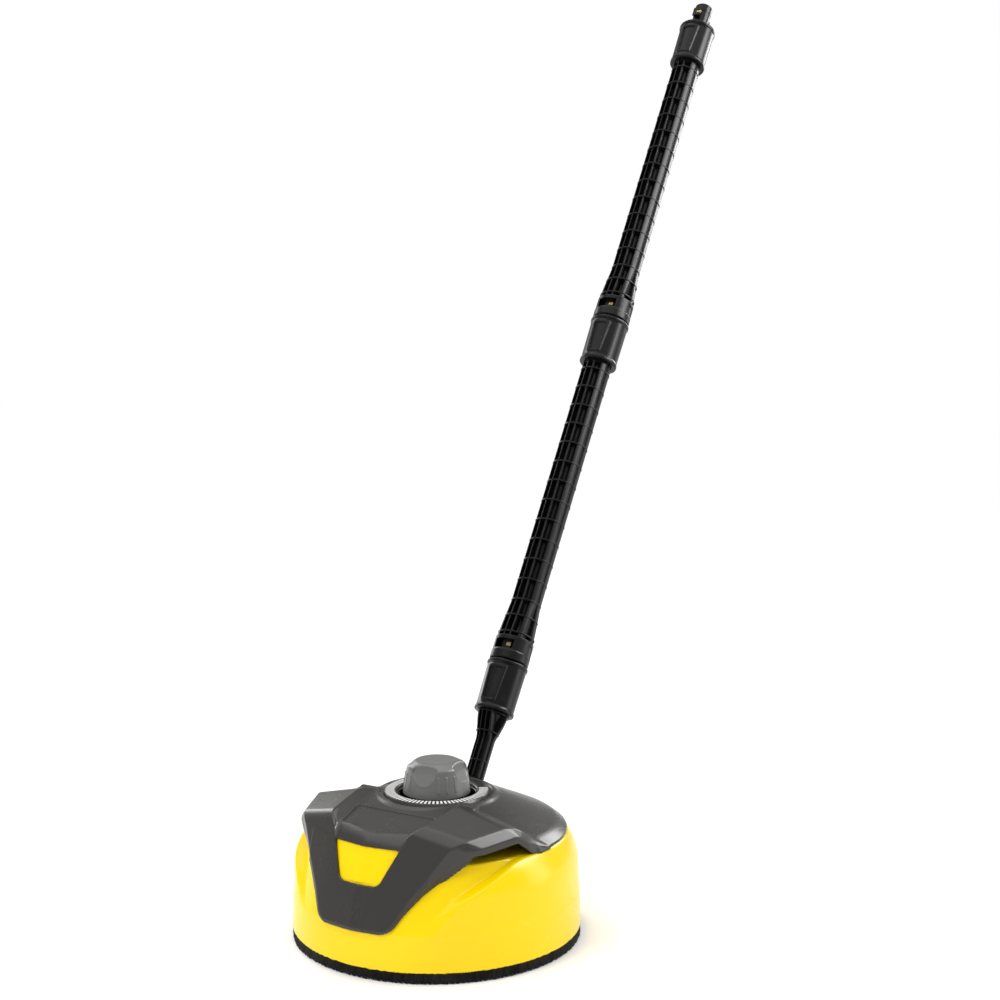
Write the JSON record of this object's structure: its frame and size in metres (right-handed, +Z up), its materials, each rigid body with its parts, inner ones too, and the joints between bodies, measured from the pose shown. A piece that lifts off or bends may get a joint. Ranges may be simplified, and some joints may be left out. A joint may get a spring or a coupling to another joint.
{
  "type": "surface cleaner",
  "caption": "Round rotary surface cleaner for a pressure washer: glossy hood on a brush skirt, dark V-shaped cover, pressure dial knob and a long leaning ribbed wand with bayonet joints.",
  "frame": {"origin": "on the hood's vertical axis, at the level of the floor that the brush skirt stands on", "axes": "+Z up along the hood's axis, +Y towards the wand and the user, -Y the front of the hood, +X to the right seen from the front"},
  "size_m": [0.29, 0.7551, 1.0042],
  "materials": {
    "yellow_shell": "glossy injection moulded",
    "black_cover": "fine satin grain",
    "black_wand": "satin",
    "black_inner": "matt",
    "grey_knob": "semi-gloss",
    "white_marks": "printed inlay",
    "bristles": "brush filament",
    "rubber_seal": "matt",
    "brass": "machined",
    "steel": "machined"
  },
  "bodies": {
    "hood": {"hood_shell": "yellow_shell", "top_cover": "black_cover", "scale_ring": "black_cover", "scale_marks": "white_marks", "valve_body": "black_inner", "valve_bonnet": "black_inner", "bonnet_screws": "steel", "inlet_pipe": "steel", "wand_socket": "black_inner", "root_screws": "steel", "bearing_housing": "black_inner", "housing_screws": "steel", "shaft_seal": "rubber_seal", "upper_bearing_outer_race": "steel", "upper_bearing_balls": "steel", "lower_bearing_outer_race": "steel", "lower_bearing_balls": "steel", "brush_carrier": "black_inner", "brush_bristles": "bristles", "cover_screws": "steel", "wand_root": "black_wand", "root_collar": "black_wand", "root_stub": "black_wand", "root_stub_key": "brass", "root_stub_seal": "rubber_seal"},
    "knob": {"regulator_knob": "grey_knob", "knob_clip": "steel", "regulator_spindle": "steel", "spindle_seal": "rubber_seal"},
    "plunger": {"valve_plunger": "black_inner", "plunger_seal": "rubber_seal"},
    "rotor": {"rotor_shaft": "steel", "shaft_circlip": "steel", "upper_bearing_inner_race": "steel", "lower_bearing_inner_race": "steel", "rotor_hub": "black_inner", "hub_plug": "black_inner", "rotor_arm_right": "steel", "rotor_arm_left": "steel", "nozzle_holder_right": "black_inner", "nozzle_holder_left": "black_inner", "jet_nozzle_right": "brass", "jet_nozzle_left": "brass", "nozzle_nut_right": "black_inner", "nozzle_nut_left": "black_inner"},
    "lower_tube": {"lower_tube_sheath": "black_wand", "lower_tube_pipe": "steel", "lower_collar": "black_wand", "lower_stub": "black_wand", "lower_stub_key": "brass", "lower_stub_seal": "rubber_seal"},
    "upper_tube": {"upper_tube_sheath": "black_wand", "upper_tube_pipe": "steel", "upper_collar": "black_wand", "upper_stub": "black_wand", "upper_stub_key": "brass", "upper_stub_seal": "rubber_seal"}
  },
  "joints": [
    {"name": "knob_turn", "type": "hinge", "parent": "hood", "child": "knob", "pos_m": [0, 0, 0.16], "axis": [0, 0, 1], "range_deg": [0, 270]},
    {"name": "plunger_slide", "type": "slide", "parent": "hood", "child": "plunger", "axis": [0, 0, 1], "range_m": [0, 0.004]},
    {"name": "rotor_spin", "type": "hinge", "parent": "hood", "child": "rotor", "pos_m": [0, 0, 0.046], "axis": [0, 0, 1], "continuous": true},
    {"name": "lower_tube_twist", "type": "hinge", "parent": "hood", "child": "lower_tube", "pos_m": [0, 0.14529, 0.2644], "axis": [0, 0.5244, 0.8515], "range_deg": [0, 90]},
    {"name": "upper_tube_twist", "type": "hinge", "parent": "lower_tube", "child": "upper_tube", "pos_m": [0, 0.36744, 0.62508], "axis": [0, 0.5244, 0.8515], "range_deg": [0, 90]}
  ],
  "couplings": [
    {"joint": "plunger_slide", "follows": "knob_turn", "m_per_rad": 0.000848}
  ]
}
